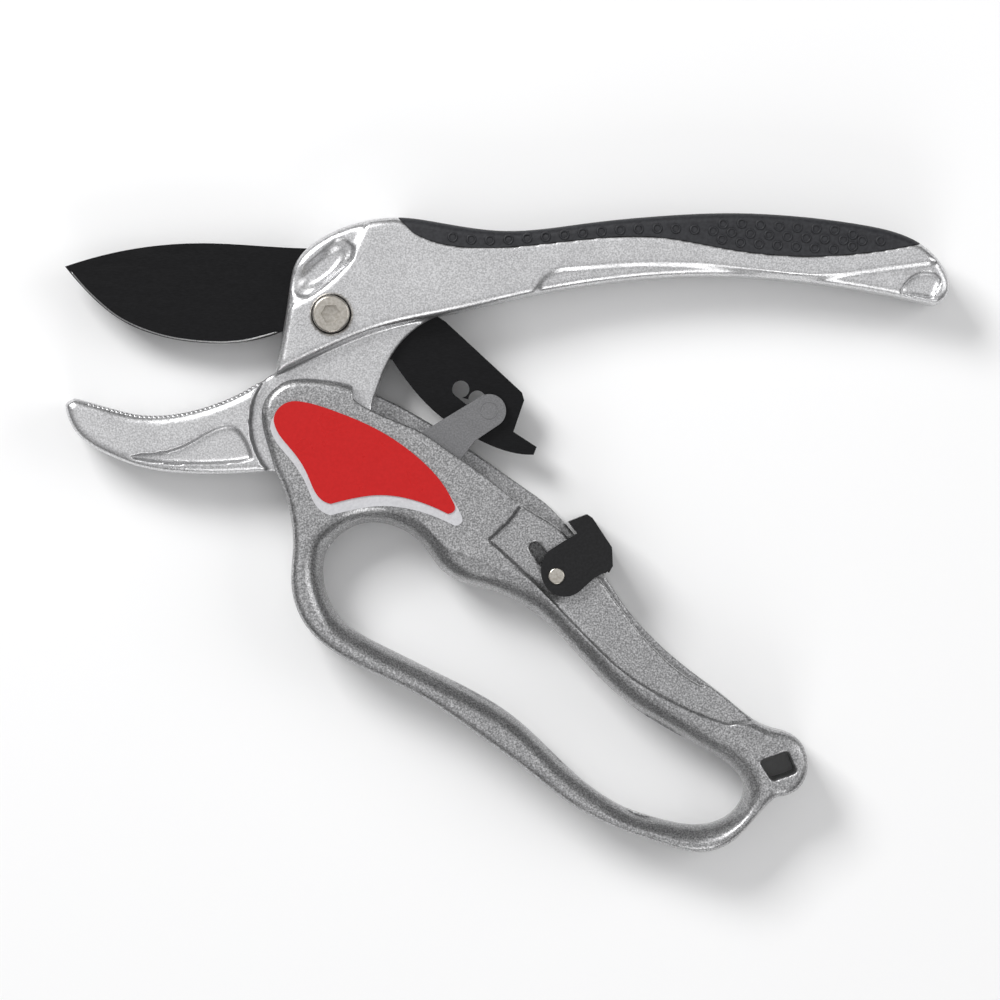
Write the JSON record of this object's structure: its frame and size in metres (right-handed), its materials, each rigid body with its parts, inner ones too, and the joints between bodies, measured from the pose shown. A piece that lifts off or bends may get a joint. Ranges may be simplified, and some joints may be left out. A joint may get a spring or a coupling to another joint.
{
  "type": "anvil pruner",
  "caption": "Hand pruner with a ratcheting blade that closes on an anvil jaw, a gripped upper handle, a finger-loop lower handle and a sliding lock.",
  "frame": {"origin": "centre of the footprint of the tool lying on its side", "axes": "+X along the upper handle from the jaws to its end, +Y from the loop handle to the upper handle, +Z through the thickness"},
  "size_m": [0.2046, 0.1476, 0.0208],
  "materials": {
    "silver_casting": "bright silver metallic paint",
    "grey_casting": "grey silver metallic paint",
    "grip_rubber": "soft satin rubber",
    "blade_coating": "black non-stick coating",
    "dark_steel": "dark oxide",
    "bright_steel": "nickel plated",
    "black_plastic": "moulded black plastic",
    "label_red": "gloss red",
    "label_silver": "silver paint"
  },
  "bodies": {
    "frame": {"frame_casting": "silver_casting", "handle_grip": "grip_rubber", "pivot_screw": "bright_steel", "pivot_washer": "bright_steel", "pivot_lock_nut": "bright_steel", "pivot_bush": "bright_steel", "handle_spring": "bright_steel"},
    "blade": {"blade": "blade_coating"},
    "loop_handle": {"loop_handle": "grey_casting", "label_border": "label_silver", "label_face": "label_red", "handle_pivot_pin": "bright_steel", "link_pivot_pin": "bright_steel", "link_spring": "bright_steel"},
    "link": {"ratchet_link": "dark_steel", "ratchet_pin": "dark_steel"},
    "lock": {"lock_slider": "black_plastic", "lock_rivet": "bright_steel", "lock_washer": "bright_steel", "lock_catch": "black_plastic"}
  },
  "joints": [
    {"name": "handle_pivot", "type": "hinge", "parent": "frame", "child": "loop_handle", "pos_m": [-0.04243, 0.02535, 0.0088], "axis": [0, 0, 1], "range_deg": [0, 42], "stiffness_Nm_per_rad": 0.3, "springref_deg": -17.19, "deforming": ["handle_spring"]},
    {"name": "blade_pivot", "type": "hinge", "parent": "frame", "child": "blade", "pos_m": [-0.04043, 0.05035, 0.0088], "axis": [0, 0, 1], "range_deg": [0, 26.51]},
    {"name": "link_pivot", "type": "hinge", "parent": "loop_handle", "child": "link", "pos_m": [-0.02043, 0.00935, 0.0088], "axis": [0, 0, 1], "range_deg": [-44.3, 0], "deforming": ["link_spring"]},
    {"name": "lock_slide", "type": "slide", "parent": "loop_handle", "child": "lock", "axis": [-0.6, 0.8, 0], "range_m": [0, 0.008]}
  ],
  "couplings": [
    {"joint": "blade_pivot", "follows": "handle_pivot", "ratio": 0.63095},
    {"joint": "link_pivot", "follows": "handle_pivot", "ratio": -1.05}
  ]
}
